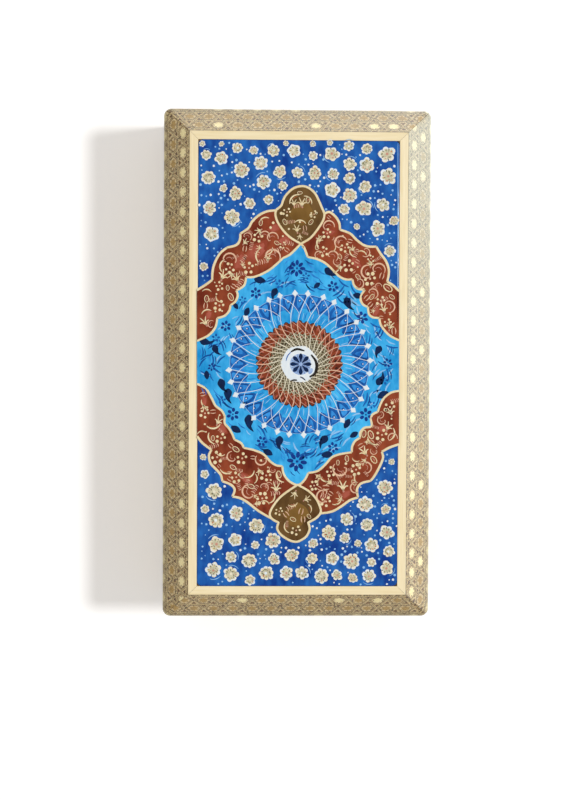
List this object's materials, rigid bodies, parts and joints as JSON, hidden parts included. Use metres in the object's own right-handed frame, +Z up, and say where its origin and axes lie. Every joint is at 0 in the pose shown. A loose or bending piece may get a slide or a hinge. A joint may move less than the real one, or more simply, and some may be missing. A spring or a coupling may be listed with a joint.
{
  "type": "hinged jewelry box",
  "caption": "Oblong hinged jewelry box covered with star marquetry, with a bevelled lid that carries a painted medallion plate.",
  "frame": {"origin": "centre of the underside, on the surface that the box stands on", "axes": "+X along the box to the right as seen from the front, +Y to the hinged rear, +Z up"},
  "size_m": [0.2, 0.1054, 0.065],
  "materials": {
    "khatam": "clear lacquer over inlaid wood, bone and brass",
    "ivory": "polished, faintly mottled",
    "edging": "lacquered",
    "painted_lacquer": "painted in blue, brick red and cream under gloss lacquer",
    "walnut": "satin",
    "plywood": "raw",
    "velvet": "velvet pile",
    "felt": "felt",
    "brass": "polished"
  },
  "bodies": {
    "box": {"wall_front": "walnut", "wall_right": "walnut", "wall_rear": "walnut", "wall_left": "walnut", "wall_veneer_front": "khatam", "wall_veneer_right": "khatam", "wall_veneer_rear": "khatam", "wall_veneer_left": "khatam", "foot_strip_front": "edging", "foot_strip_right": "edging", "foot_strip_rear": "edging", "foot_strip_left": "edging", "wall_lining_front": "velvet", "wall_lining_right": "velvet", "wall_lining_rear": "velvet", "wall_lining_left": "velvet", "box_rim_strip_front": "edging", "box_rim_strip_right": "edging", "box_rim_strip_left": "edging", "base_board": "plywood", "base_felt": "felt", "floor_lining": "velvet", "hinge_left_box_leaf": "brass", "hinge_right_box_leaf": "brass", "hinge_left_pin": "brass", "hinge_right_pin": "brass", "hinge_left_box_screw_1": "brass", "hinge_left_box_screw_2": "brass", "hinge_right_box_screw_1": "brass", "hinge_right_box_screw_2": "brass"},
    "lid": {"lid_rail_front": "walnut", "lid_rail_right": "walnut", "lid_rail_rear": "walnut", "lid_rail_left": "walnut", "bevel_veneer_front": "khatam", "bevel_veneer_right": "khatam", "bevel_veneer_rear": "khatam", "bevel_veneer_left": "khatam", "skirt_veneer_front": "khatam", "skirt_veneer_right": "khatam", "skirt_veneer_rear": "khatam", "skirt_veneer_left": "khatam", "ivory_strip_front": "ivory", "ivory_strip_right": "ivory", "ivory_strip_rear": "ivory", "ivory_strip_left": "ivory", "lid_rim_strip_front": "edging", "lid_rim_strip_right": "edging", "lid_rim_strip_left": "edging", "lid_board": "plywood", "painted_plate": "painted_lacquer", "lid_lining": "velvet", "hinge_left_lid_leaf": "brass", "hinge_right_lid_leaf": "brass", "hinge_left_lid_screw_1": "brass", "hinge_left_lid_screw_2": "brass", "hinge_right_lid_screw_1": "brass", "hinge_right_lid_screw_2": "brass"}
  },
  "joints": [
    {"name": "lid_hinge", "type": "hinge", "parent": "box", "child": "lid", "pos_m": [0, 0.0503, 0.042], "axis": [-1, 0, 0], "range_deg": [0, 105]}
  ]
}
